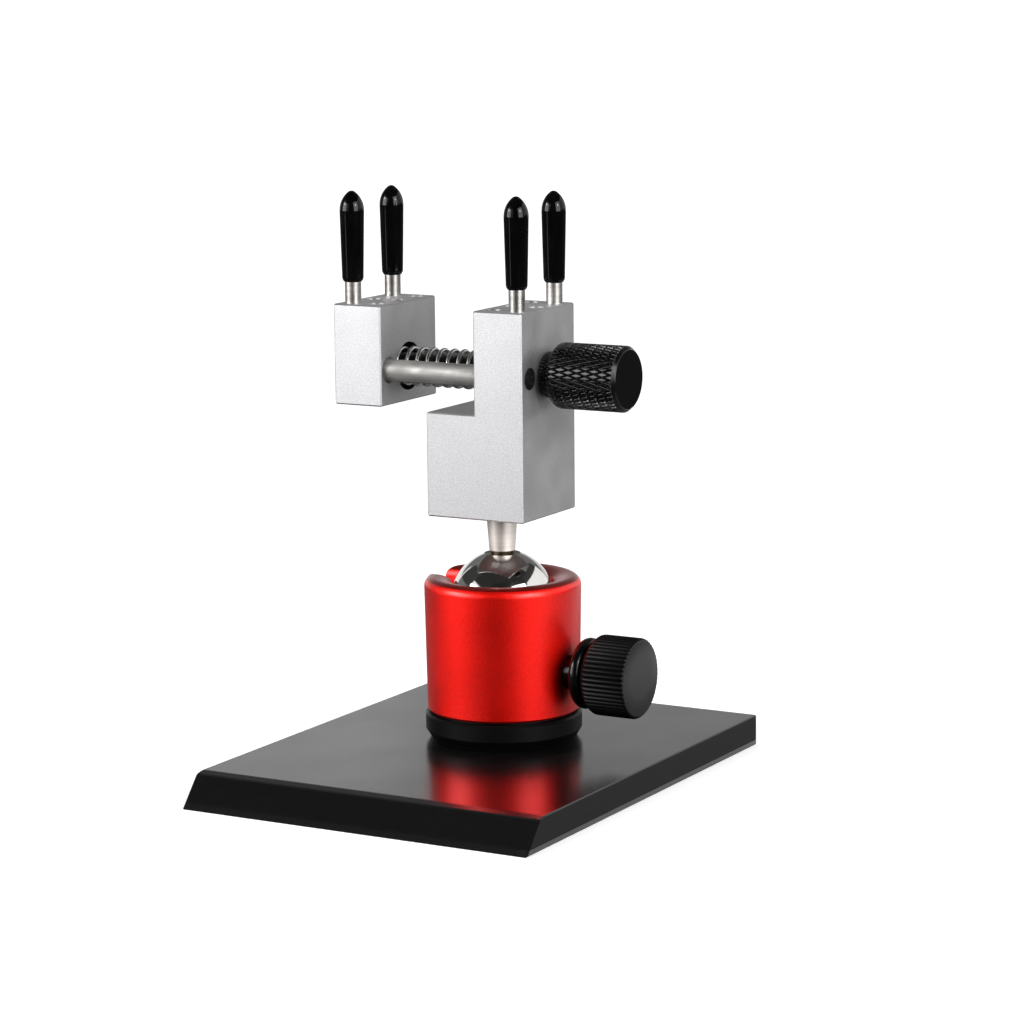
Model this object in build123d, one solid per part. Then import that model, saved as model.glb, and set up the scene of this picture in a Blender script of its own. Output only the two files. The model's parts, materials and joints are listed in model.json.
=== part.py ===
from build123d import *
import math
import os

# A block-shaped pin vise on a lockable ball, which stands on a heavy plate.
# Millimetres. Origin: middle of the plate's underside. +Z is up, both knobs point to +X,
# and the plate's bevelled front faces -Y. The vise is modelled upright on its ball, jaws open.

# Plate
plate_width = 70.0
plate_depth = 90.0
plate_height = 5.8
bevel_depth = 4.7
bevel_height = 5.5
strip_depth = 1.8
plate_edge = 0.2

# Foot ring of the ball head, and the screw that holds it from below
head_offset = 9.5
ring_height = 4.9
ring_foot_inset = 1.1
ring_taper_height = 1.8
ring_edge = 0.4
neck_inset = 1.2
neck_height = 0.35
spigot_height = 2.1
base_screw_radius = 3.0
base_screw_head_radius = 5.65
base_screw_head_sink = 0.3
base_screw_socket_radius = 2.3
base_screw_socket_depth = 2.0
base_screw_end_cover = 1.0

# Housing, measured up from its underside and out from its axis
housing_height = 24.95
housing_radius = 14.5
housing_foot_taper = 0.4
housing_foot_edge = 0.4
rim_rounding = 1.8
rim_drop = 1.1
lip_flare = 0.3
lip_rise = 3.1
notch_width = 6.6
notch_corner = 2.0

# Ball and stem
ball_radius = 9.75
ball_rise = 19.95
ball_flat_radius = 3.35
stem_length = 7.64
stem_foot_radius = 2.4
stem_neck_radius = 2.1
stem_neck_length = 0.6
stem_top_radius = 2.9
stem_stud_radius = 1.9
stem_stud_depth = 6.0
stem_thread_radius = 2.5
stem_thread_length = 7.0

# Seat and lift block under the ball
seat_bore_radius = 4.0
seat_contact_drop = 3.0
lift_travel = 0.225
lift_reserve = 0.075
lift_block_height = 7.55
seat_stand = 0.05

# Lock: bushing, nose piece, screw and knob along +X
lock_rise = 8.15
bushing_neck_radius = 3.2
bushing_seat_depth = 3.5
bushing_stand = 2.15
flange_radius = 6.55
flange_length = 2.4
flange_rounding = 1.19
lock_screw_radius = 2.5
lock_pad_radius = 2.3
lock_pad_length = 3.0
nose_radius = 1.5
nose_length = 5.0
nose_slope = 0.15
lock_knob_gap = 0.15
lock_knob_radius = 7.41
lock_knob_length = 9.3
lock_knob_root_radius = 5.95
lock_knob_root_length = 1.6
lock_knob_edge = 0.3
lock_knob_bore_depth = 5.5

# Vise body: a block with the fixed jaw standing on its +X half
body_length = 20.0
vise_width = 20.0
step_height = 19.2
jaw_thickness = 10.0
jaw_rise = 38.1
jaw_opening = 19.5
slide_gap = 0.3
block_edge = 0.25

# Guide rods, lead screw, spring
axis_rise = 26.0
rod_radius = 2.0
rod_spacing = 14.0
rod_mouth = 0.4
rod_right_recess = 4.0
rod_left_recess = 1.0
lead_screw_radius = 2.5
pocket_radius = 4.5
pocket_depth = 5.5
spring_radius = 3.33
wire_radius = 0.375
spring_turns = 12.5
spring_bend_radius = 0.9

# Clamp knob
clamp_collar_radius = 4.2
clamp_collar_length = 1.5
clamp_knob_radius = 6.03
clamp_knob_length = 16.4
clamp_shoulder_length = 1.8
clamp_knob_edge = 0.6
clamp_bore_depth = 12.0

# Pins in the outer row of holes, and the soft caps on them
pin_radius = 1.5
pin_pitch = 7.0
pin_edge_distance = 2.5
pin_row_pitch = 5.0
pin_hole_depth = 7.5
pin_length = 21.8
pin_edge = 0.3
cap_lift = 3.9
cap_length = 16.7
cap_radius = 2.275
cap_foot_radius = 1.98
cap_foot_rise = 0.8
cap_lip = 0.08
cap_nose_length = 3.6
cap_tip_radius = 0.55
cap_tip_height = 0.15

# Fits, each a radial or end clearance
fixed_fit = 0.02
running_fit = 0.05
ball_fit = 0.06
thread_fit = 0.05
wedge_fit = 0.05
touch_gap = 0.02
overcut = 1.0

# Heights and places that follow
housing_foot_radius = housing_radius - housing_foot_taper
ring_radius = housing_radius
ring_foot_radius = ring_radius - ring_foot_inset
neck_radius = ring_radius - neck_inset
bushing_x = housing_radius - bushing_seat_depth
flange_x = housing_radius + bushing_stand
ring_z = plate_height
neck_z = ring_z + ring_height
housing_z = neck_z + neck_height
ball_z = housing_z + ball_rise
ball_flat_rise = math.sqrt(ball_radius**2 - ball_flat_radius**2)
ball_top_z = ball_z + ball_flat_rise
vise_z = ball_top_z + stem_length
socket_radius = ball_radius + ball_fit
lip_radius = math.sqrt(socket_radius**2 - lip_rise**2)
lift_block_z = housing_z + spigot_height + lift_travel + lift_reserve
seat_z = lift_block_z + lift_block_height + seat_stand
lock_z = housing_z + lock_rise
knob_x = flange_x + flange_length + lock_knob_gap
pad_x = socket_radius + running_fit
screw_z = vise_z + axis_rise
jaw_z = vise_z + jaw_rise
moving_jaw_x = -jaw_opening - jaw_thickness
moving_jaw_z = vise_z + step_height + slide_gap
head = Pos(0, head_offset, 0)


def block(x_ends, y_ends, z_ends):
    """A box between the given ends."""
    ends = (x_ends, y_ends, z_ends)
    size = [high - low for low, high in ends]
    centre = [(high + low) / 2 for low, high in ends]
    return Pos(*centre) * Box(*size)


def rod_up(radius, low, high, x=0.0, y=0.0):
    """An upright cylinder from low to high."""
    return Pos(x, y, (low + high) / 2) * Cylinder(radius, high - low)


def rod_along(radius, left, right, y, z):
    """A cylinder along X from left to right."""
    return Pos((left + right) / 2, y, z) * Rot(0, 90, 0) * Cylinder(radius, right - left)


def turned_up(points):
    """Turn a profile of (radius, height) points about the Z axis."""
    return revolve(Plane.XZ * make_face(Polyline(*points, close=True)), Axis.Z)


def turned_along(points, y, z):
    """Turn a profile of (x, radius) points about X, then carry it to its axis."""
    outline = make_face(Polyline(*points, close=True))
    return Pos(0, y, z) * revolve(Plane.XY * outline, Axis.X)


def make_base_plate():
    bevel_y = -plate_depth / 2 + bevel_depth
    side = Polyline(
        (-plate_depth / 2, 0),
        (plate_depth / 2, 0),
        (plate_depth / 2, plate_height),
        (bevel_y + strip_depth, plate_height),
        (bevel_y, bevel_height),
        close=True,
    )
    plate = Pos(-plate_width / 2, 0, 0) * extrude(Plane.YZ * make_face(side), plate_width)
    plate = chamfer(plate.edges().sort_by(Axis.Y)[1:], plate_edge)
    hole_radius = base_screw_radius + thread_fit
    head_radius = base_screw_head_radius + thread_fit
    cone_top = base_screw_head_sink + head_radius - hole_radius
    sink = turned_up(
        [
            (0, -overcut),
            (head_radius, -overcut),
            (head_radius, base_screw_head_sink),
            (hole_radius, cone_top),
            (hole_radius, plate_height + overcut),
            (0, plate_height + overcut),
        ]
    )
    return plate - head * sink


def make_base_screw():
    head_height = base_screw_head_radius - base_screw_radius
    top = housing_z + spigot_height - base_screw_end_cover
    body = turned_up(
        [
            (0, base_screw_head_sink),
            (base_screw_head_radius, base_screw_head_sink),
            (base_screw_radius, base_screw_head_sink + head_height),
            (base_screw_radius, top),
            (0, top),
        ]
    )
    hexagon = RegularPolygon(base_screw_socket_radius, 6)
    socket = Pos(0, 0, base_screw_head_sink) * extrude(hexagon, base_screw_socket_depth)
    return head * (body - socket)


def make_base_ring():
    spigot_radius = socket_radius - running_fit
    body = turned_up(
        [
            (base_screw_radius + thread_fit, ring_z),
            (ring_foot_radius, ring_z),
            (ring_radius, ring_z + ring_taper_height),
            (ring_radius, neck_z - ring_edge),
            (ring_radius - ring_edge, neck_z),
            (neck_radius, neck_z),
            (neck_radius, housing_z),
            (spigot_radius, housing_z),
            (spigot_radius, housing_z + spigot_height),
            (base_screw_radius + thread_fit, housing_z + spigot_height),
        ]
    )
    return head * body


def housing_profile():
    """Half section: wall, rounded rim, retaining lip, ball socket and bore."""
    top = housing_z + housing_height
    crest_radius = housing_radius - rim_rounding
    inner_radius = lip_radius + lip_flare
    foot = (housing_foot_radius - housing_foot_edge, housing_z)
    wall_foot = (housing_foot_radius, housing_z + housing_foot_edge)
    wall_top = (housing_radius, top - rim_rounding)
    crest = (crest_radius, top)
    inner_edge = (inner_radius, top - rim_drop)
    lip = (lip_radius, ball_z + lip_rise)
    equator = (socket_radius, ball_z)
    bore_foot = (socket_radius, housing_z)
    middle_angle = math.asin(lip_rise / socket_radius) / 2
    socket_middle = (
        socket_radius * math.cos(middle_angle),
        ball_z + socket_radius * math.sin(middle_angle),
    )
    outline = [
        Line(foot, wall_foot),
        Line(wall_foot, wall_top),
        TangentArc(wall_top, crest, tangent=(0, 1)),
        TangentArc(crest, inner_edge, tangent=(-1, 0)),
        Line(inner_edge, lip),
        ThreePointArc(lip, socket_middle, equator),
        Line(equator, bore_foot),
        Line(bore_foot, foot),
    ]
    return make_face(outline)


def notch_cutter():
    """The rim's slot on the -X side: round at the bottom, flared at the top corners."""
    half = notch_width / 2
    top = housing_z + housing_height
    flare_z = top - notch_corner
    slot = Pos(0, (ball_z + top + overcut) / 2) * Rectangle(notch_width, top + overcut - ball_z)
    mouth_height = notch_corner + overcut
    mouth = Pos(0, flare_z + mouth_height / 2) * Rectangle(notch_width + 2 * notch_corner, mouth_height)
    for side in (-1, 1):
        corner = Pos(side * (half + notch_corner), flare_z) * Circle(notch_corner)
        mouth -= corner
    outline = slot + mouth + Pos(0, ball_z) * Circle(half)
    return extrude(Plane.YZ * outline, -(housing_radius + overcut))


def make_housing():
    body = revolve(Plane.XZ * housing_profile(), Axis.Z)
    body -= notch_cutter()
    far = housing_radius + overcut
    body -= rod_along(bushing_neck_radius + fixed_fit, bushing_x, far, 0, lock_z)
    body -= rod_along(lock_pad_radius + running_fit, 0, far, 0, lock_z)
    return head * body


def make_lock_bushing():
    right = flange_x + flange_length
    bore = lock_screw_radius + thread_fit
    body = turned_along(
        [
            (bushing_x, bore),
            (bushing_x, bushing_neck_radius),
            (flange_x, bushing_neck_radius),
            (flange_x, flange_radius),
            (right, flange_radius),
            (right, bore),
        ],
        head_offset,
        lock_z,
    )
    rims = body.edges().filter_by(GeomType.CIRCLE).filter_by(lambda e: e.radius > flange_radius - fixed_fit)
    return fillet(rims, flange_rounding)


def make_lock_pad():
    nose_tip = nose_radius - nose_slope * nose_length
    body = turned_along(
        [
            (pad_x - nose_length, 0),
            (pad_x - nose_length, nose_tip),
            (pad_x, nose_radius),
            (pad_x, lock_pad_radius),
            (pad_x + lock_pad_length, lock_pad_radius),
            (pad_x + lock_pad_length, 0),
        ],
        head_offset,
        lock_z,
    )
    return body


def make_lock_screw():
    left = pad_x + lock_pad_length + touch_gap
    right = knob_x + lock_knob_bore_depth - touch_gap
    return rod_along(lock_screw_radius, left, right, head_offset, lock_z)


def make_lock_knob():
    end = knob_x + lock_knob_length
    root_end = knob_x + lock_knob_root_length
    bore = lock_screw_radius + fixed_fit
    bore_end = knob_x + lock_knob_bore_depth
    return turned_along(
        [
            (knob_x, bore),
            (knob_x, lock_knob_root_radius),
            (root_end, lock_knob_radius),
            (end - lock_knob_edge, lock_knob_radius),
            (end, lock_knob_radius - lock_knob_edge),
            (end, 0),
            (bore_end, 0),
            (bore_end, bore),
        ],
        head_offset,
        lock_z,
    )


def make_lift_block():
    outer = socket_radius - running_fit
    body = rod_up(outer, lift_block_z, lift_block_z + lift_block_height, 0, head_offset)
    hole_left = pad_x - nose_length - wedge_fit
    hole_right = pad_x + overcut
    left_radius = nose_radius - nose_slope * (pad_x - hole_left) + wedge_fit
    right_radius = nose_radius + nose_slope * overcut + wedge_fit
    hole = turned_along(
        [(hole_left, 0), (hole_left, left_radius), (hole_right, right_radius), (hole_right, 0)],
        head_offset,
        lock_z,
    )
    return body - hole


def make_ball_seat():
    outer = socket_radius - running_fit
    top = ball_z - seat_contact_drop
    body = rod_up(outer, seat_z, top) - rod_up(seat_bore_radius, seat_z - overcut, top + overcut)
    body -= Pos(0, 0, ball_z) * Sphere(socket_radius)
    return head * body


def make_ball():
    flat_z = ball_flat_rise
    body = Sphere(ball_radius)
    over = 2 * ball_radius
    body -= block((-over, over), (-over, over), (flat_z, over))
    body -= rod_up(stem_stud_radius + running_fit, flat_z - stem_stud_depth, over)
    return Pos(0, 0, ball_z) * head * body


def make_stem():
    stud_foot = ball_top_z - stem_stud_depth + touch_gap
    foot = ball_top_z + stem_neck_length
    thread_top = vise_z + stem_thread_length
    body = turned_up(
        [
            (0, stud_foot),
            (stem_stud_radius, stud_foot),
            (stem_stud_radius, ball_top_z + touch_gap),
            (stem_neck_radius, ball_top_z + touch_gap),
            (stem_neck_radius, foot),
            (stem_foot_radius, foot),
            (stem_top_radius, vise_z),
            (stem_thread_radius, vise_z),
            (stem_thread_radius, thread_top),
            (0, thread_top),
        ]
    )
    return head * body


def pin_places(outer_x, inward):
    """Hole centres of one jaw: three across in two rows, the outer row first."""
    places = []
    for row in range(2):
        x = outer_x + inward * (pin_edge_distance + row * pin_row_pitch)
        for step in (-1, 0, 1):
            places.append((x, head_offset + step * pin_pitch))
    return places


def drill_pin_holes(jaw, outer_x, inward):
    hole_radius = pin_radius + fixed_fit
    for x, y in pin_places(outer_x, inward):
        jaw -= rod_up(hole_radius, jaw_z - pin_hole_depth, jaw_z + overcut, x, y)
    return jaw


def rod_places():
    half = rod_spacing / 2
    return {"front": head_offset - half, "rear": head_offset + half}


def make_vise_body():
    half_width = vise_width / 2
    half_length = body_length / 2
    riser_left = half_length - jaw_thickness
    side = Polyline(
        (-half_length, vise_z),
        (half_length, vise_z),
        (half_length, jaw_z),
        (riser_left, jaw_z),
        (riser_left, vise_z + step_height),
        (-half_length, vise_z + step_height),
        close=True,
    )
    body = extrude(Plane.XZ * make_face(side), half_width, both=True)
    inner_corner = body.edges().filter_by(Axis.Y).sort_by_distance((riser_left, 0, vise_z + step_height))[0]
    outer_edges = [edge for edge in body.edges() if edge != inner_corner]
    body = head * chamfer(outer_edges, block_edge)
    far = half_length + overcut
    for y in rod_places().values():
        body -= rod_along(rod_radius + fixed_fit, riser_left - overcut, far, y, screw_z)
    bearing = lead_screw_radius + running_fit
    body -= rod_along(bearing, riser_left - overcut, far, head_offset, screw_z)
    body -= rod_along(pocket_radius, riser_left - overcut, riser_left + pocket_depth, head_offset, screw_z)
    stud_hole_top = vise_z + stem_thread_length + touch_gap
    body -= rod_up(stem_thread_radius + fixed_fit, vise_z - overcut, stud_hole_top, 0, head_offset)
    return drill_pin_holes(body, half_length, -1)


def make_moving_jaw():
    half_width = vise_width / 2
    right = moving_jaw_x + jaw_thickness
    y_ends = (head_offset - half_width, head_offset + half_width)
    jaw = block((moving_jaw_x, right), y_ends, (moving_jaw_z, jaw_z))
    jaw = chamfer(jaw.edges(), block_edge)
    bore = rod_radius + running_fit
    for y in rod_places().values():
        jaw -= rod_along(bore, moving_jaw_x - overcut, right + overcut, y, screw_z)
        for face_x, inward in ((moving_jaw_x, 1), (right, -1)):
            mouth = turned_along(
                [
                    (face_x, 0),
                    (face_x, bore + rod_mouth),
                    (face_x + inward * rod_mouth, bore),
                    (face_x + inward * rod_mouth, 0),
                ],
                y,
                screw_z,
            )
            jaw -= mouth
    thread = lead_screw_radius + thread_fit
    jaw -= rod_along(thread, moving_jaw_x - overcut, right + overcut, head_offset, screw_z)
    jaw -= rod_along(pocket_radius, right - pocket_depth, right + overcut, head_offset, screw_z)
    return drill_pin_holes(jaw, moving_jaw_x, 1)


def make_guide_rod(y):
    left = moving_jaw_x + rod_left_recess
    right = body_length / 2 - rod_right_recess
    return rod_along(rod_radius, left, right, y, screw_z)


def make_lead_screw():
    left = moving_jaw_x + rod_left_recess
    right = body_length / 2 + clamp_bore_depth - touch_gap
    return rod_along(lead_screw_radius, left, right, head_offset, screw_z)


def make_clamp_knob():
    left = body_length / 2 + touch_gap
    shoulder = left + clamp_collar_length
    full = shoulder + clamp_shoulder_length
    end = left + clamp_knob_length
    bore = lead_screw_radius + fixed_fit
    bore_end = body_length / 2 + clamp_bore_depth
    return turned_along(
        [
            (left, bore),
            (left, clamp_collar_radius),
            (shoulder, clamp_collar_radius),
            (full, clamp_knob_radius),
            (end - clamp_knob_edge, clamp_knob_radius),
            (end, clamp_knob_radius - clamp_knob_edge),
            (end, 0),
            (bore_end, 0),
            (bore_end, bore),
        ],
        head_offset,
        screw_z,
    )


def biarc(start, start_direction, end, end_direction):
    """Two arcs from start to end that meet smoothly halfway."""
    chord = end - start
    both = start_direction + end_direction
    spread = 2 * (1 - start_direction.dot(end_direction))
    along = chord.dot(both)
    reach = (math.sqrt(along**2 + spread * chord.dot(chord)) - along) / spread
    first_corner = start + start_direction * reach
    second_corner = end - end_direction * reach
    middle = (first_corner + second_corner) * 0.5
    middle_direction = (second_corner - first_corner).normalized()
    first = Edge.make_tangent_arc(start, start_direction, middle)
    return [first, Edge.make_tangent_arc(middle, middle_direction, end)]


def spring_path():
    """Straight end, bend, the turns as biarcs of half a turn, bend, straight end."""
    wire = 2 * wire_radius
    left = moving_jaw_x + jaw_thickness - pocket_depth + touch_gap
    right = body_length / 2 - jaw_thickness + pocket_depth - touch_gap
    half_turns = round(2 * spring_turns)
    lead = right - left - 2 * wire
    rise = lead / (spring_turns * 2 * math.pi)
    for _ in range(8):
        slope = math.atan2(rise, spring_radius)
        bend_run = spring_bend_radius * math.cos(slope)
        rise = (lead - 2 * bend_run) / (spring_turns * 2 * math.pi)
    bend_side = spring_bend_radius * (1 - math.sin(slope))
    first_x = left + wire + bend_run
    centre = Vector(0, head_offset, screw_z)
    axis = Vector(1, 0, 0)

    def point(angle):
        offset = Vector(0, math.cos(angle), math.sin(angle)) * spring_radius
        return centre + offset + axis * (first_x + rise * angle)

    def around(angle):
        return Vector(0, -math.sin(angle), math.cos(angle))

    def direction(angle):
        return (around(angle) * spring_radius + axis * rise).normalized()

    last_angle = math.pi * half_turns
    bend_start = point(0) - axis * bend_run - around(0) * bend_side
    bend_end = point(last_angle) + axis * bend_run + around(last_angle) * bend_side
    edges = [
        Edge.make_line(bend_start - axis * wire, bend_start),
        Edge.make_tangent_arc(bend_start, axis, point(0)),
    ]
    for step in range(half_turns):
        low = math.pi * step
        high = low + math.pi
        edges += biarc(point(low), direction(low), point(high), direction(high))
    edges.append(Edge.make_tangent_arc(point(last_angle), direction(last_angle), bend_end))
    edges.append(Edge.make_line(bend_end, bend_end + axis * wire))
    return edges


def least_gap(edges):
    """Least clear distance between stretches of the wire over half a turn apart, on points."""
    samples = 24
    points = []
    travelled = 0.0
    for edge in edges:
        for step in range(samples):
            points.append((travelled + edge.length * step / samples, edge.position_at(step / samples)))
        travelled += edge.length
    half_turn = math.pi * spring_radius
    gaps = []
    for index, (place, here) in enumerate(points):
        for other_place, there in points[index + 1 :]:
            if half_turn < other_place - place < 3 * half_turn:
                gaps.append((there - here).length - 2 * wire_radius)
    return min(gaps)


def make_spring():
    edges = spring_path()
    start = edges[0].position_at(0)
    section = Plane(start, z_dir=edges[0].tangent_at(0)) * Circle(wire_radius)
    tube = sweep(section, path=Wire(edges))
    print("spring: least gap to itself", round(least_gap(edges), 3))
    length = sum(edge.length for edge in edges)
    print("spring: volume over section times length", round(tube.volume / (length * section.area), 4))
    return tube


def make_pin(x, y):
    foot = jaw_z - pin_hole_depth + touch_gap
    return chamfer(rod_up(pin_radius, foot, foot + pin_length, x, y).edges().filter_by(GeomType.CIRCLE), pin_edge)


def make_cap(x, y):
    foot = jaw_z + cap_lift
    top = foot + cap_length
    pin_top = jaw_z - pin_hole_depth + touch_gap + pin_length
    bore = pin_radius + fixed_fit
    bore_top = pin_top + touch_gap
    lip = (bore + cap_lip, foot)
    side_foot = (cap_foot_radius, foot + cap_foot_rise)
    nose = (cap_radius, top - cap_nose_length)
    tip_edge = (cap_tip_radius, top - cap_tip_height)
    outline = [
        Line((bore, foot), lip),
        TangentArc(side_foot, lip, tangent=(0, -1)),
        Line(side_foot, nose),
        TangentArc(nose, tip_edge, tangent=(0, 1)),
        TangentArc((0, top), tip_edge, tangent=(1, 0)),
        Line((0, top), (0, bore_top)),
        Line((0, bore_top), (bore, bore_top)),
        Line((bore, bore_top), (bore, foot)),
    ]
    return Pos(x, y, 0) * revolve(Plane.XZ * make_face(outline), Axis.Z)


def make_parts():
    rods = rod_places()
    parts = {
        "base_plate": make_base_plate(),
        "base_screw": make_base_screw(),
        "base_ring": make_base_ring(),
        "housing": make_housing(),
        "lock_bushing": make_lock_bushing(),
        "lock_pad": make_lock_pad(),
        "lock_screw": make_lock_screw(),
        "lock_knob": make_lock_knob(),
        "lift_block": make_lift_block(),
        "ball_seat": make_ball_seat(),
        "ball": make_ball(),
        "stem": make_stem(),
        "vise_body": make_vise_body(),
        "moving_jaw": make_moving_jaw(),
        "guide_rod_front": make_guide_rod(rods["front"]),
        "guide_rod_rear": make_guide_rod(rods["rear"]),
        "lead_screw": make_lead_screw(),
        "clamp_knob": make_clamp_knob(),
        "spring": make_spring(),
    }
    jaws = {"fixed": (body_length / 2, -1), "moving": (moving_jaw_x, 1)}
    for jaw, (outer_x, inward) in jaws.items():
        row = pin_places(outer_x, inward)
        for place, (x, y) in (("front", row[0]), ("rear", row[2])):
            parts[f"pin_{jaw}_{place}"] = make_pin(x, y)
            parts[f"cap_{jaw}_{place}"] = make_cap(x, y)
    return parts


os.makedirs("parts", exist_ok=True)
for name, solid in make_parts().items():
    export_step(solid, f"parts/{name}.step")
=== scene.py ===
import json
import math

import bpy
from mathutils import Matrix, Vector

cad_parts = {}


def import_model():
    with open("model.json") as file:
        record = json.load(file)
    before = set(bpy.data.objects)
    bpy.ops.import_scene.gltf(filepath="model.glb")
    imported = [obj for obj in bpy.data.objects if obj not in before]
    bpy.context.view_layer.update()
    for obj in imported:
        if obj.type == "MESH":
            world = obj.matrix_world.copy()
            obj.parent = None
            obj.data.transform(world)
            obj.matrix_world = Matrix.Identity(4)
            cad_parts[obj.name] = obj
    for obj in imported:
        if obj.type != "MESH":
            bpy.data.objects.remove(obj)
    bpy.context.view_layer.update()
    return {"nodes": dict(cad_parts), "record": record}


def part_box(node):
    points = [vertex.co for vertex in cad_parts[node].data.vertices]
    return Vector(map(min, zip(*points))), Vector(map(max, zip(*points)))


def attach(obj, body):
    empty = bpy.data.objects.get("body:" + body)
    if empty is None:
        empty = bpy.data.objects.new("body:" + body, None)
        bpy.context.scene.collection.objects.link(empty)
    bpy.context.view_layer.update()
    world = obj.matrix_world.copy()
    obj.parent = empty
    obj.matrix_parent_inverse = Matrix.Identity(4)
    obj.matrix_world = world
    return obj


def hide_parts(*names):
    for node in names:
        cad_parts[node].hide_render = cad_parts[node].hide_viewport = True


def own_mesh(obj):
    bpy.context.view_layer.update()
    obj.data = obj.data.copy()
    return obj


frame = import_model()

MM = 0.001

# Camera of the photograph, fitted to the plate and the ball head
CAMERA_YAW = 29.42
CAMERA_PITCH = 9.84
CAMERA_ROLL = -0.57
CAMERA_DISTANCE = 617.11 * MM
CAMERA_TARGET = Vector((7.48, 0.0, 49.79)) * MM
CAMERA_LENS = 120.3

# Light, where a strength of 1 is white. The floor is lifted to white from its middle outwards.
AMBIENT = 0.5
FLOOR_LIFT = 0.3
FAR_FLOOR_LIFT = 0.85
FLOOR_LIFT_START = 0.25
FLOOR_LIFT_END = 1.6
FLOOR_HALF = 6.0
FLOOR_Z = -0.05 * MM

# Where the studio's cards stand, in metres from the spot under the camera's target
CEILING = 1.4
TABLE = 0.001
SIDE_WALL = 1.1
BACK_WALL = -1.5
FRONT_FLAG = 1.1

# Knurls and thread, which are finer than the frame's solids
CLAMP_KNURL_STARTS = 40
CLAMP_KNURL_PITCH = 3.44 * MM
CLAMP_KNURL_DEPTH = 0.34 * MM
KNURL_FLAT = 0.38
LOCK_RIDGES = 50
LOCK_RIDGE_DEPTH = 0.3 * MM
THREAD_PITCH = 0.8 * MM
THREAD_DEPTH = 0.43 * MM

# How near to a plane a face's centre lies to count as part of it
ON_PLANE = 0.02 * MM

# How noise is stretched: rings round an axis, or lines along it
ROUND_X = (1.0, 0.05, 0.05)
ROUND_Z = (0.02, 0.02, 1.0)
ALONG_X = (0.02, 1.0, 1.0)


# ---------------------------------------------------------------- materials

def new_material(name, **values):
    """A material whose Principled shader has the given socket values."""
    made = bpy.data.materials.new(name)
    made.use_nodes = True
    shader = made.node_tree.nodes["Principled BSDF"]
    for key, value in values.items():
        shader.inputs[key.replace("_", " ")].default_value = value
    return made, made.node_tree.nodes, made.node_tree.links, shader


def noise(nodes, links, scale, detail=2.0, stretch=(1.0, 1.0, 1.0)):
    """Noise in the object's own metres, so its grain has a real size."""
    place = nodes.new("ShaderNodeTexCoord")
    mapping = nodes.new("ShaderNodeMapping")
    mapping.inputs["Scale"].default_value = stretch
    made = nodes.new("ShaderNodeTexNoise")
    made.inputs["Scale"].default_value = scale
    made.inputs["Detail"].default_value = detail
    links.new(place.outputs["Object"], mapping.inputs["Vector"])
    links.new(mapping.outputs["Vector"], made.inputs["Vector"])
    return made.outputs["Fac"]


def ramp(nodes, links, factor, low, high, start=0.35, end=0.65):
    """Maps a noise factor to a spread between two colours."""
    made = nodes.new("ShaderNodeValToRGB")
    made.color_ramp.elements[0].position = start
    made.color_ramp.elements[1].position = end
    made.color_ramp.elements[0].color = (*low, 1.0)
    made.color_ramp.elements[1].color = (*high, 1.0)
    links.new(factor, made.inputs["Fac"])
    return made.outputs["Color"]


def spread(nodes, links, factor, low, high):
    """Maps a noise factor to a range of values."""
    made = nodes.new("ShaderNodeMapRange")
    made.inputs["From Min"].default_value = 0.3
    made.inputs["From Max"].default_value = 0.7
    made.inputs["To Min"].default_value = low
    made.inputs["To Max"].default_value = high
    links.new(factor, made.inputs["Value"])
    return made.outputs["Result"]


def bump(nodes, links, shader, height, strength, distance):
    made = nodes.new("ShaderNodeBump")
    made.inputs["Strength"].default_value = strength
    made.inputs["Distance"].default_value = distance
    links.new(height, made.inputs["Height"])
    links.new(made.outputs["Normal"], shader.inputs["Normal"])


def blasted_aluminium():
    made, nodes, links, shader = new_material("blasted_aluminium", Metallic=1.0)
    grain = noise(nodes, links, 4200.0, 3.0)
    cloud = noise(nodes, links, 180.0)
    shade = ramp(nodes, links, grain, (0.45, 0.45, 0.46), (0.6, 0.6, 0.61))
    links.new(shade, shader.inputs["Base Color"])
    links.new(spread(nodes, links, cloud, 0.46, 0.54), shader.inputs["Roughness"])
    bump(nodes, links, shader, grain, 0.35, 0.02 * MM)
    return made


def red_anodised(name, shade, roughness):
    made, nodes, links, shader = new_material(name, Metallic=1.0, Coat_Weight=0.65, Coat_Roughness=0.28)
    grain = noise(nodes, links, 3600.0, 3.0)
    cloud = noise(nodes, links, 150.0)
    low = (0.86 * shade, 0.004, 0.001)
    high = (shade, 0.012, 0.005)
    links.new(ramp(nodes, links, grain, low, high), shader.inputs["Base Color"])
    links.new(spread(nodes, links, cloud, roughness * 0.94, roughness * 1.06), shader.inputs["Roughness"])
    bump(nodes, links, shader, grain, 0.4, 0.015 * MM)
    return made


def satin_black(name, roughness, grain_size, shade, specular=0.5):
    """Black anodised or painted metal with a fine grain."""
    made, nodes, links, shader = new_material(name, Specular_IOR_Level=specular)
    grain = noise(nodes, links, 1.0 / grain_size, 3.0)
    cloud = noise(nodes, links, 60.0)
    low = (shade * 0.75, shade * 0.75, shade * 0.78)
    high = (shade * 1.3, shade * 1.3, shade * 1.35)
    links.new(ramp(nodes, links, grain, low, high), shader.inputs["Base Color"])
    links.new(spread(nodes, links, cloud, roughness * 0.9, roughness * 1.1), shader.inputs["Roughness"])
    bump(nodes, links, shader, grain, 0.25, 0.015 * MM)
    return made


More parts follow.
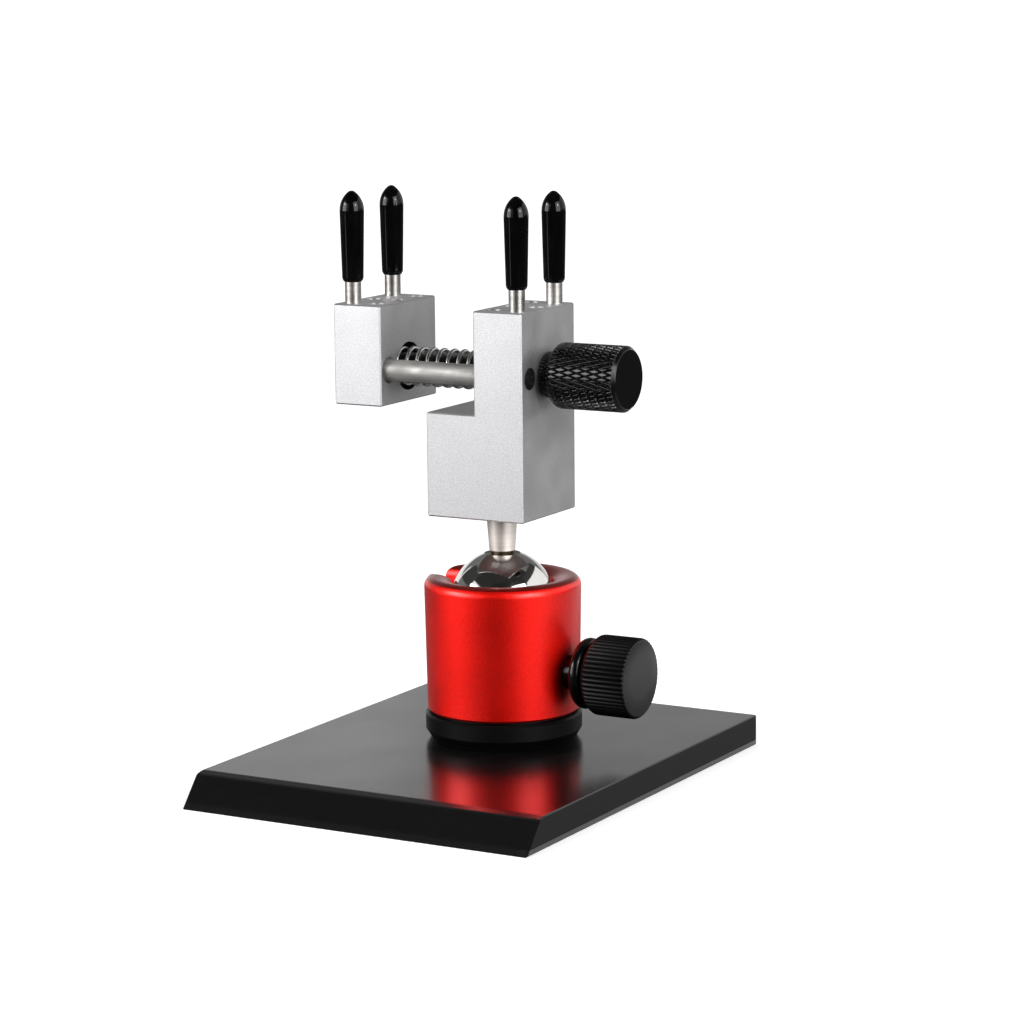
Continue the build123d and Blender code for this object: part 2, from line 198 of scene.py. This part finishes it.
def polished(name, low, high, roughness, stretch=(1.0, 1.0, 1.0), scale=900.0):
    """Bright metal with faint tool lines along one direction."""
    made, nodes, links, shader = new_material(name, Metallic=1.0)
    lines = noise(nodes, links, scale, 4.0, stretch)
    cloud = noise(nodes, links, 220.0)
    links.new(ramp(nodes, links, lines, low, high), shader.inputs["Base Color"])
    links.new(spread(nodes, links, cloud, roughness * 0.8, roughness * 1.25), shader.inputs["Roughness"])
    bump(nodes, links, shader, lines, 0.12, 0.01 * MM)
    return made


def soft_vinyl():
    made, nodes, links, shader = new_material("soft_vinyl", Specular_IOR_Level=0.22)
    dips = noise(nodes, links, 420.0, 2.0, (1.0, 1.0, 0.35))
    shade = ramp(nodes, links, dips, (0.0008, 0.0008, 0.0008), (0.0016, 0.0016, 0.0016))
    links.new(shade, shader.inputs["Base Color"])
    links.new(spread(nodes, links, dips, 0.06, 0.1), shader.inputs["Roughness"])
    bump(nodes, links, shader, dips, 0.1, 0.1 * MM)
    return made


def plain_plastic(name, low, high, roughness):
    made, nodes, links, shader = new_material(name)
    cloud = noise(nodes, links, 700.0)
    links.new(ramp(nodes, links, cloud, low, high), shader.inputs["Base Color"])
    links.new(spread(nodes, links, cloud, roughness * 0.9, roughness * 1.1), shader.inputs["Roughness"])
    return made


MATERIALS = {
    "plate_black": satin_black("plate_black", 0.2, 0.12 * MM, 0.011, 0.5),
    "plate_edge": satin_black("plate_edge", 0.45, 0.12 * MM, 0.008, 0.1),
    "black_anodised": satin_black("black_anodised", 0.3, 0.15 * MM, 0.005),
    "black_knurled": satin_black("black_knurled", 0.2, 0.2 * MM, 0.002, 0.36),
    "black_ridged": satin_black("black_ridged", 0.42, 0.15 * MM, 0.0015, 0.12),
    "black_end": satin_black("black_end", 0.4, 0.15 * MM, 0.001, 0.05),
    "red_anodised": red_anodised("red_anodised", 1.0, 0.51),
    # A darker copy of the red: painted shade for the housing's dished top
    "red_lip_painted_shade": red_anodised("red_lip_painted_shade", 0.45, 0.42),
    "gloss_black": satin_black("gloss_black", 0.2, 0.4 * MM, 0.0015, 0.22),
    "chrome": polished("chrome", (0.7, 0.69, 0.66), (0.76, 0.75, 0.72), 0.07, scale=300.0),
    "nickel": polished("nickel", (0.84, 0.8, 0.74), (0.92, 0.88, 0.83), 0.48, ROUND_Z, 2600.0),
    "blasted_aluminium": blasted_aluminium(),
    # Dark grey metal: painted shade for the walls of the rod and screw holes
    "bore_painted_shade": polished("bore_painted_shade", (0.2, 0.2, 0.2), (0.3, 0.3, 0.3), 0.35, scale=1200.0),
    # Dark brown metal: painted shade and a painted dark reflection, on the ball's flat and the stem's foot
    "flat_painted_shade": polished("flat_painted_shade", (0.05, 0.035, 0.02), (0.12, 0.09, 0.06), 0.4, scale=1500.0),
    "bright_steel": polished("bright_steel", (0.42, 0.4, 0.38), (0.54, 0.52, 0.5), 0.32, ROUND_Z, 2200.0),
    "rod_steel": polished("rod_steel", (0.35, 0.34, 0.33), (0.44, 0.43, 0.415), 0.72, ALONG_X, 1500.0),
    "spring_steel": polished("spring_steel", (0.42, 0.41, 0.4), (0.6, 0.59, 0.58), 0.25, scale=1500.0),
    "black_steel": satin_black("black_steel", 0.3, 0.2 * MM, 0.008),
    "brass": polished("brass", (0.62, 0.42, 0.16), (0.8, 0.58, 0.26), 0.25, ROUND_X, 2000.0),
    "seat_plastic": plain_plastic("seat_plastic", (0.7, 0.7, 0.66), (0.8, 0.8, 0.76), 0.5),
    "soft_black": soft_vinyl(),
}


def paint(piece, look):
    """Gives a mesh one material."""
    piece.data.materials.clear()
    piece.data.materials.append(MATERIALS[look])


def paint_end(knob, look):
    """Gives a knob's flat outer end a finish of its own."""
    knob.data.materials.append(MATERIALS[look])
    for face in knob.data.polygons:
        if face.normal.x > 0.95:
            face.material_index = 1


# ---------------------------------------------------------------- mesh helpers

def smooth(mesh, angle=30.0):
    """Smooth shading that keeps edges over the given angle crisp."""
    mesh.polygons.foreach_set("use_smooth", [True] * len(mesh.polygons))
    mesh.set_sharp_from_angle(angle=math.radians(angle))


def grid_mesh(name, rows, close_ends=True):
    """A mesh from equal rings of points, the ends closed by a face each."""
    around = len(rows[0])
    points = [point for ring in rows for point in ring]
    faces = []
    for step in range(len(rows) - 1):
        low = step * around
        high = low + around
        for place in range(around):
            after = (place + 1) % around
            faces.append((low + place, high + place, high + after, low + after))
    if close_ends:
        faces.append(tuple(range(around)))
        last = (len(rows) - 1) * around
        faces.append(tuple(last + place for place in reversed(range(around))))
    mesh = bpy.data.meshes.new(name)
    mesh.from_pydata(points, [], faces)
    mesh.validate()
    mesh.update()
    return mesh


def add_piece(name, mesh, slot_name, body, *nodes, look=None):
    """Links a finished mesh, paints it, rides it on its body and hides the nodes it stands for."""
    piece = bpy.data.objects.new(name, mesh)
    bpy.context.scene.collection.objects.link(piece)
    paint(piece, look or slot_name)
    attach(piece, body)
    if nodes:
        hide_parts(*nodes)
    return piece


def middle(node):
    low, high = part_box(node)
    return (low + high) / 2


def ring_x(x, radii, y, z):
    """Points round an axis along X, one radius for each."""
    count = len(radii)
    ring = []
    for place, radius in enumerate(radii):
        angle = -2 * math.pi * place / count
        ring.append((x, y + radius * math.cos(angle), z + radius * math.sin(angle)))
    return ring


def ring_z(z, radius, x, y, count):
    ring = []
    for place in range(count):
        angle = -2 * math.pi * place / count
        ring.append((x + radius * math.cos(angle), y + radius * math.sin(angle), z))
    return ring


# ---------------------------------------------------------------- pieces

def wave(phase):
    """A triangle wave from 0 at whole numbers to 1 halfway."""
    return 1 - abs(2 * (phase % 1.0) - 1)


def clamp_knob():
    """Collar, shoulder and grip with a knurl of long flat-topped diamonds."""
    low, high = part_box("clamp_knob")
    centre = middle("clamp_knob")
    radius = (high.z - low.z) / 2
    collar_radius = 4.2 * MM
    collar_length = 1.5 * MM
    shoulder_length = 1.8 * MM
    edge = 0.6 * MM
    per_cell = 12
    around = CLAMP_KNURL_STARTS * per_cell
    step = CLAMP_KNURL_PITCH / 24
    grip_end = high.x - edge

    def diamonds(x, base, depth):
        radii = []
        for place in range(around):
            turn = place / per_cell
            along = x / CLAMP_KNURL_PITCH
            height = min(wave(turn + along), wave(turn - along), KNURL_FLAT) / KNURL_FLAT
            radii.append(base - depth * (1 - height))
        return ring_x(x, radii, centre.y, centre.z)

    def plain(x, base):
        return ring_x(x, [base] * around, centre.y, centre.z)

    rows = [plain(low.x, collar_radius - 0.3 * MM)]
    x = low.x + 0.2 * MM
    while x < grip_end:
        share = min(max((x - low.x - collar_length) / shoulder_length, 0.0), 1.0)
        bulge = math.sin(share * math.pi / 2)
        base = collar_radius + (radius - collar_radius) * bulge
        rows.append(diamonds(x, base, CLAMP_KNURL_DEPTH * (0.6 + 0.4 * bulge)))
        x += step
    rows.append(plain(grip_end, radius - CLAMP_KNURL_DEPTH * 0.5))
    rows.append(plain(high.x - 0.08 * MM, radius - edge + 0.02 * MM))
    rows.append(plain(high.x, radius - edge - 0.1 * MM))
    rows.append(plain(high.x, radius * 0.5))
    mesh = grid_mesh("clamp_knob_knurled", rows)
    smooth(mesh, 16.0)
    knob = add_piece(
        "clamp_knob_knurled", mesh, "black_anodised", "clamp", "clamp_knob", look="black_knurled"
    )
    paint_end(knob, "black_end")


def lock_knob():
    """Grip with straight rounded ridges, a tapered root and a flat end."""
    low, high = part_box("lock_knob")
    centre = middle("lock_knob")
    radius = (high.z - low.z) / 2
    root_radius = 5.95 * MM
    root_length = 1.6 * MM
    per_ridge = 8
    around = LOCK_RIDGES * per_ridge

    def ridged(x, base, depth):
        radii = []
        for place in range(around):
            height = math.sqrt(wave(place / per_ridge))
            radii.append(base - depth * (1 - height))
        return ring_x(x, radii, centre.y, centre.z)

    stations = [(low.x, root_radius - 0.4 * MM, 0.0), (low.x + 0.05 * MM, root_radius, 0.0)]
    for share in (0.2, 0.4, 0.6, 0.8, 1.0):
        bulge = math.sin(share * math.pi / 2)
        base = root_radius + (radius - root_radius) * bulge
        stations.append((low.x + root_length * share, base, LOCK_RIDGE_DEPTH * share))
    # The rounded end: millimetres from it and under the full radius, and the share of the ridges' depth
    for back, under, share in ((0.55, 0.0, 1.0), (0.25, 0.12, 0.8), (0.06, 0.36, 0.3), (0.0, 0.6, 0.0)):
        stations.append((high.x - back * MM, radius - under * MM, LOCK_RIDGE_DEPTH * share))
    stations.append((high.x, radius * 0.5, 0.0))
    rows = [ridged(*station) for station in stations]
    mesh = grid_mesh("lock_knob_ridged", rows)
    smooth(mesh, 40.0)
    knob = add_piece(
        "lock_knob_ridged", mesh, "black_anodised", "lock_handle", "lock_knob", look="black_ridged"
    )
    paint_end(knob, "black_anodised")


def lead_screw():
    """A screw whose thread is one unbroken helix."""
    low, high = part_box("lead_screw")
    centre = middle("lead_screw")
    radius = (high.z - low.z) / 2
    around = 36
    levels = (0.0, 0.0, 1.0, 1.0)
    stations = (0.0, 0.12, 0.56, 0.68)
    turns = int((high.x - low.x) / THREAD_PITCH) + 2
    rows = []
    for turn in range(-1, turns):
        for share, level in zip(stations, levels):
            ring = []
            for place in range(around):
                angle = 2 * math.pi * place / around
                x = low.x + THREAD_PITCH * (turn + share + place / around)
                x = min(max(x, low.x), high.x)
                reach = radius - THREAD_DEPTH * level
                y = centre.y + reach * math.cos(angle)
                z = centre.z + reach * math.sin(angle)
                ring.append((x, y, z))
            rows.append(ring)
    points = [point for ring in rows for point in ring]
    faces = []
    for step in range(len(rows) - 1):
        for place in range(around - 1):
            here = step * around + place
            faces.append((here, here + 1, here + around + 1, here + around))
    jump = len(levels) * around
    for step in range(len(rows) - 1 - len(levels)):
        here = step * around + around - 1
        there = step * around + jump
        faces.append((here, there, there + around, here + around))
    mesh = bpy.data.meshes.new("lead_screw_threaded")
    mesh.from_pydata(points, [], faces)
    mesh.validate()
    mesh.update()
    smooth(mesh, 25.0)
    add_piece("lead_screw_threaded", mesh, "black_steel", "clamp", "lead_screw")


def ball():
    """A fine sphere with its flat, so that its reflections run true."""
    low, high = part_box("ball")
    centre_x = (low.x + high.x) / 2
    centre_y = (low.y + high.y) / 2
    radius = (high.x - low.x) / 2
    centre_z = low.z + radius
    flat_angle = math.asin((high.z - centre_z) / radius)
    inner_flat_radius = 2.1 * MM
    rings = 72
    around = 128
    rows = []
    for step in range(1, rings + 1):
        angle = -math.pi / 2 + (flat_angle + math.pi / 2) * step / rings
        z = centre_z + radius * math.sin(angle)
        rows.append(ring_z(z, radius * math.cos(angle), centre_x, centre_y, around))
    rows.append(ring_z(high.z, inner_flat_radius, centre_x, centre_y, around))
    mesh = grid_mesh("ball_polished", rows)
    smooth(mesh, 12.0)
    made = add_piece("ball_polished", mesh, "chrome", "ball", "ball")
    # The flat is painted dark brown: painted shade and a painted dark reflection of the stem's foot
    made.data.materials.append(MATERIALS["flat_painted_shade"])
    for face in made.data.polygons:
        if face.center.z > high.z - ON_PLANE:
            face.material_index = 1


def spring():
    """The spring as a piece of its own on the vise body, its right end held in the fixed jaw."""
    node = frame["nodes"]["spring"]
    mesh = node.data.copy()
    mesh.transform(node.matrix_world)
    made = add_piece("spring_coiled", mesh, "spring_steel", "vise", "spring")
    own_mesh(made)


def paint_bore_shade():
    """Paints shade into the rod and screw holes of both jaws: their walls get a dark grey metal that stands
    in for the shade inside the holes.
    """
    # What runs in each hole, and how far from its axis the wall may lie
    reaches = {"guide_rod_front": 2.12 * MM, "guide_rod_rear": 2.12 * MM, "lead_screw": 4.6 * MM}
    bores = [(middle(inner), reach) for inner, reach in reaches.items()]
    for name in ("vise_body", "moving_jaw"):
        node = frame["nodes"][name]
        low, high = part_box(name)
        node.data.materials.append(MATERIALS["bore_painted_shade"])
        for face in node.data.polygons:
            spot = node.matrix_world @ face.center
            if not low.x + ON_PLANE < spot.x < high.x - ON_PLANE:
                continue
            if any(math.hypot(spot.y - axis.y, spot.z - axis.z) < reach for axis, reach in bores):
                face.material_index = 1


def dull_plate_edges():
    """Gives the plate's narrow chamfers, at its foot and upright corners, a duller finish than its faces."""
    node = frame["nodes"]["base_plate"]
    node.data.materials.append(MATERIALS["plate_edge"])
    for face in node.data.polygons:
        corner = abs(face.normal.x) > 0.3 and abs(face.normal.y) > 0.3
        if corner or -0.9 < face.normal.z < -0.1:
            face.material_index = 1


def paint_lip_shade():
    """Paints shade on the dished top of the housing, which leans in towards the ball: a darker copy of its
    red, as painted shade.
    """
    node = frame["nodes"]["housing"]
    centre = middle("ball")
    node.data.materials.append(MATERIALS["red_lip_painted_shade"])
    for face in node.data.polygons:
        spot = node.matrix_world @ face.center
        out = Vector((spot.x - centre.x, spot.y - centre.y, 0)).normalized()
        if face.normal.z > 0.6 and face.normal.dot(out) < 0.7 and spot.z > centre.z:
            face.material_index = 1


def paint_stem_neck_shade():
    """Paints the short relief at the stem's foot dark brown: the same painted shade as the ball's flat."""
    node = frame["nodes"]["stem"]
    relief_length = 0.61 * MM
    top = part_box("ball")[1].z + relief_length
    node.data.materials.append(MATERIALS["flat_painted_shade"])
    for face in node.data.polygons:
        if (node.matrix_world @ face.center).z < top:
            face.material_index = 1


SLOTS = {part["node"]: part["material_slot"] for part in frame["record"]["subparts"]}
for node_name, node in frame["nodes"].items():
    smooth(node.data)
    paint(node, SLOTS[node_name])
paint(frame["nodes"]["base_ring"], "black_ridged")
for node_name in ("guide_rod_front", "guide_rod_rear"):
    paint(frame["nodes"][node_name], "rod_steel")

paint_bore_shade()
dull_plate_edges()
paint_lip_shade()
paint_stem_neck_shade()
clamp_knob()
lock_knob()
lead_screw()
ball()
spring()


# ---------------------------------------------------------------- stage, light, camera

def around_camera(turn, rise, distance):
    """A place seen from the vise, turned from the camera's direction towards the picture's right."""
    azimuth = math.radians(CAMERA_YAW + turn)
    elevation = math.radians(rise)
    level = math.cos(elevation)
    direction = Vector((math.sin(azimuth) * level, -math.cos(azimuth) * level, math.sin(elevation)))
    return CAMERA_TARGET + direction * distance


def facing(obj, place, target=CAMERA_TARGET):
    obj.location = place
    obj.rotation_mode = "QUATERNION"
    obj.rotation_quaternion = (target - place).to_track_quat("-Z", "Y")


def screened(name, *nodes):
    """A collection that lamps leave out, as a studio flag keeps a lamp's glare off a flat glossy top."""
    made = bpy.data.collections.new(name)
    for place, node in enumerate(nodes):
        made.objects.link(node)
        made.collection_objects[place].light_linking.link_state = "EXCLUDE"
    return made


def softbox(name, receivers, turn, rise, distance, width, height, radiance):
    """A studio lamp that only shows in what it lights, with the level of its face as radiance."""
    light = bpy.data.lights.new(name, "AREA")
    light.shape = "RECTANGLE"
    light.size = width
    light.size_y = height
    light.energy = radiance * math.pi * width * height
    lamp = bpy.data.objects.new(name, light)
    bpy.context.scene.collection.objects.link(lamp)
    facing(lamp, around_camera(turn, rise, distance))
    lamp.visible_camera = False
    lamp.light_linking.receiver_collection = receivers


def card(name, shade, *corners):
    """A card that glows with one shade and is seen only in reflections: a painted reflection in the metal,
    which lights nothing and casts no shadow.

    Its corners are (right, near, up) as the camera sees them, in metres from the spot under its target.
    """
    yaw = math.radians(CAMERA_YAW)
    right = Vector((math.cos(yaw), math.sin(yaw), 0))
    near = Vector((math.sin(yaw), -math.cos(yaw), 0))
    spot = Vector((CAMERA_TARGET.x, CAMERA_TARGET.y, 0))
    points = [spot + right * x + near * y + Vector((0, 0, z)) for x, y, z in corners]
    mesh = bpy.data.meshes.new(name)
    mesh.from_pydata(points, [], [(0, 1, 2, 3)])
    made, nodes, links, shader = new_material(name, Specular_IOR_Level=0.0, Emission_Strength=1.0)
    shader.inputs["Base Color"].default_value = (0.0, 0.0, 0.0, 1.0)
    shader.inputs["Emission Color"].default_value = (shade, shade, shade, 1.0)
    mesh.materials.append(made)
    board = bpy.data.objects.new(name, mesh)
    bpy.context.scene.collection.objects.link(board)
    board.visible_camera = False
    board.visible_diffuse = False
    board.visible_transmission = False
    board.visible_shadow = False


def level_card(name, shade, height, left, right, far, near):
    """A card that lies level."""
    card(name, shade, (left, far, height), (right, far, height), (right, near, height), (left, near, height))


def facing_card(name, shade, near, left, right, low, high):
    """An upright card square to the camera's direction."""
    card(name, shade, (left, near, low), (right, near, low), (right, near, high), (left, near, high))


def side_card(name, shade, right, near, far, low, high):
    """An upright card along the camera's direction."""
    card(name, shade, (right, near, low), (right, far, low), (right, far, high), (right, near, high))


def background_rays(nodes, links):
    """1 where a ray shows the background: straight to the camera, mirrored or through glass."""
    path = nodes.new("ShaderNodeLightPath")
    either = nodes.new("ShaderNodeMath")
    either.operation = "MAXIMUM"
    every = nodes.new("ShaderNodeMath")
    every.operation = "MAXIMUM"
    links.new(path.outputs["Is Camera Ray"], either.inputs[0])
    links.new(path.outputs["Is Glossy Ray"], either.inputs[1])
    links.new(either.outputs[0], every.inputs[0])
    links.new(path.outputs["Is Transmission Ray"], every.inputs[1])
    return every.outputs[0]


def floor():
    mesh = bpy.data.meshes.new("floor")
    corners = [(-1, -1), (1, -1), (1, 1), (-1, 1)]
    points = [(x * FLOOR_HALF, y * FLOOR_HALF, FLOOR_Z) for x, y in corners]
    mesh.from_pydata(points, [], [(0, 1, 2, 3)])
    made, nodes, links, shader = new_material("floor", Roughness=0.8, Specular_IOR_Level=0.0)
    shader.inputs["Base Color"].default_value = (0.92, 0.92, 0.92, 1.0)
    shader.inputs["Emission Color"].default_value = (1.0, 1.0, 1.0, 1.0)
    place = nodes.new("ShaderNodeTexCoord")
    away = nodes.new("ShaderNodeVectorMath")
    away.operation = "LENGTH"
    fade = nodes.new("ShaderNodeMapRange")
    fade.inputs["From Min"].default_value = FLOOR_LIFT_START
    fade.inputs["From Max"].default_value = FLOOR_LIFT_END
    fade.inputs["To Min"].default_value = FLOOR_LIFT
    fade.inputs["To Max"].default_value = FAR_FLOOR_LIFT
    lift = nodes.new("ShaderNodeMath")
    lift.operation = "MULTIPLY"
    links.new(place.outputs["Object"], away.inputs[0])
    links.new(away.outputs["Value"], fade.inputs["Value"])
    links.new(fade.outputs["Result"], lift.inputs[1])
    links.new(background_rays(nodes, links), lift.inputs[0])
    links.new(lift.outputs[0], shader.inputs["Emission Strength"])
    mesh.materials.append(made)
    ground = bpy.data.objects.new("floor", mesh)
    bpy.context.scene.collection.objects.link(ground)


def world():
    made = bpy.data.worlds.new("world")
    made.use_nodes = True
    nodes = made.node_tree.nodes
    links = made.node_tree.links
    output = nodes["World Output"]
    ambient = nodes["Background"]
    ambient.inputs["Color"].default_value = (1.0, 1.0, 1.0, 1.0)
    ambient.inputs["Strength"].default_value = AMBIENT
    white = nodes.new("ShaderNodeBackground")
    white.inputs["Color"].default_value = (1.0, 1.0, 1.0, 1.0)
    mix = nodes.new("ShaderNodeMixShader")
    links.new(background_rays(nodes, links), mix.inputs[0])
    links.new(ambient.outputs[0], mix.inputs[1])
    links.new(white.outputs[0], mix.inputs[2])
    links.new(mix.outputs[0], output.inputs["Surface"])
    bpy.context.scene.world = made


def camera():
    data = bpy.data.cameras.new("camera")
    data.lens = CAMERA_LENS
    data.sensor_width = 36.0
    data.clip_start = 0.01
    data.clip_end = 20.0
    made = bpy.data.objects.new("camera", data)
    bpy.context.scene.collection.objects.link(made)
    place = around_camera(0.0, CAMERA_PITCH, CAMERA_DISTANCE)
    forward = (CAMERA_TARGET - place).normalized()
    right = forward.cross(Vector((0, 0, 1))).normalized()
    up = right.cross(forward)
    roll = math.radians(CAMERA_ROLL)
    rolled_right = right * math.cos(roll) + up * math.sin(roll)
    rolled_up = up * math.cos(roll) - right * math.sin(roll)
    turn = Matrix((rolled_right, rolled_up, -forward)).transposed()
    made.matrix_world = Matrix.Translation(place) @ turn.to_4x4()
    bpy.context.scene.camera = made


def lamps():
    """Two large lamps with a small hot spot each. All leave out the plate, which would mirror them."""
    others = screened("screened", frame["nodes"]["base_plate"])
    softbox("softbox_left", others, -72.0, 16.0, 0.9, 0.6, 0.48, 7.0)
    softbox("softbox_right", others, 42.0, 20.0, 0.9, 0.66, 0.7, 5.2)
    softbox("spot_left", others, -78.0, 25.0, 0.84, 0.08, 0.11, 40.0)
    softbox("spot_right", others, 42.0, 27.0, 0.84, 0.08, 0.11, 45.0)


def cards():
    """The dark and pale glowing cards that the metal mirrors: painted reflections."""
    facing_card("flag_front", 0.02, FRONT_FLAG, -0.66, 0.6, 0.0, 1.5)
    level_card("flag_ceiling", 0.03, CEILING, -1.8, 1.8, -0.25, 1.8)
    level_card("ceiling_back", 0.2, CEILING, -1.8, 1.8, -1.8, -0.25)
    level_card("table_front", 0.04, TABLE, -1.2, 1.2, 0.075, 1.2)
    # A bright glowing strip on the table: a painted highlight streak on the caps and the housing
    glow = ((-0.36, 0.13), (-0.3, 0.16), (-0.7, 0.36), (-0.8, 0.28))
    card("table_glow", 2.0, *((right, near, 2 * TABLE) for right, near in glow))
    level_card("table_near", 0.2, TABLE, 0.0, 0.075, -0.3, 0.075)
    level_card("table_middle", 0.65, TABLE, 0.075, 0.2, -0.3, 0.075)
    level_card("table_right", 0.08, TABLE, 0.2, 1.1, -1.0, 0.075)
    level_card("table_left_near", 0.15, TABLE, -0.2, 0.0, -0.3, 0.075)
    level_card("table_left", 0.1, TABLE, -1.1, -0.2, -1.0, 0.075)
    side_card("wall_right", 1.1, SIDE_WALL, 0.35, BACK_WALL, 0.12, 0.95)
    side_card("wall_right_high", 0.05, SIDE_WALL, 0.35, BACK_WALL, 0.95, CEILING)
    side_card("wall_right_low", 0.08, SIDE_WALL, 0.35, -1.0, 0.0, 0.12)
    side_card("wall_left", 0.2, -SIDE_WALL, -1.2, 0.0, 0.0, 0.5)
    side_card("wall_left_high", 0.05, -SIDE_WALL, -1.2, 0.0, 0.5, CEILING)
    facing_card("wall_back", 0.68, BACK_WALL, -0.06, 1.1, 0.1, 0.48)
    facing_card("wall_back_high", 0.18, BACK_WALL, -1.2, 1.1, 0.48, CEILING)


floor()
world()
camera()
lamps()
cards()
bpy.context.scene.view_settings.view_transform = "Standard"
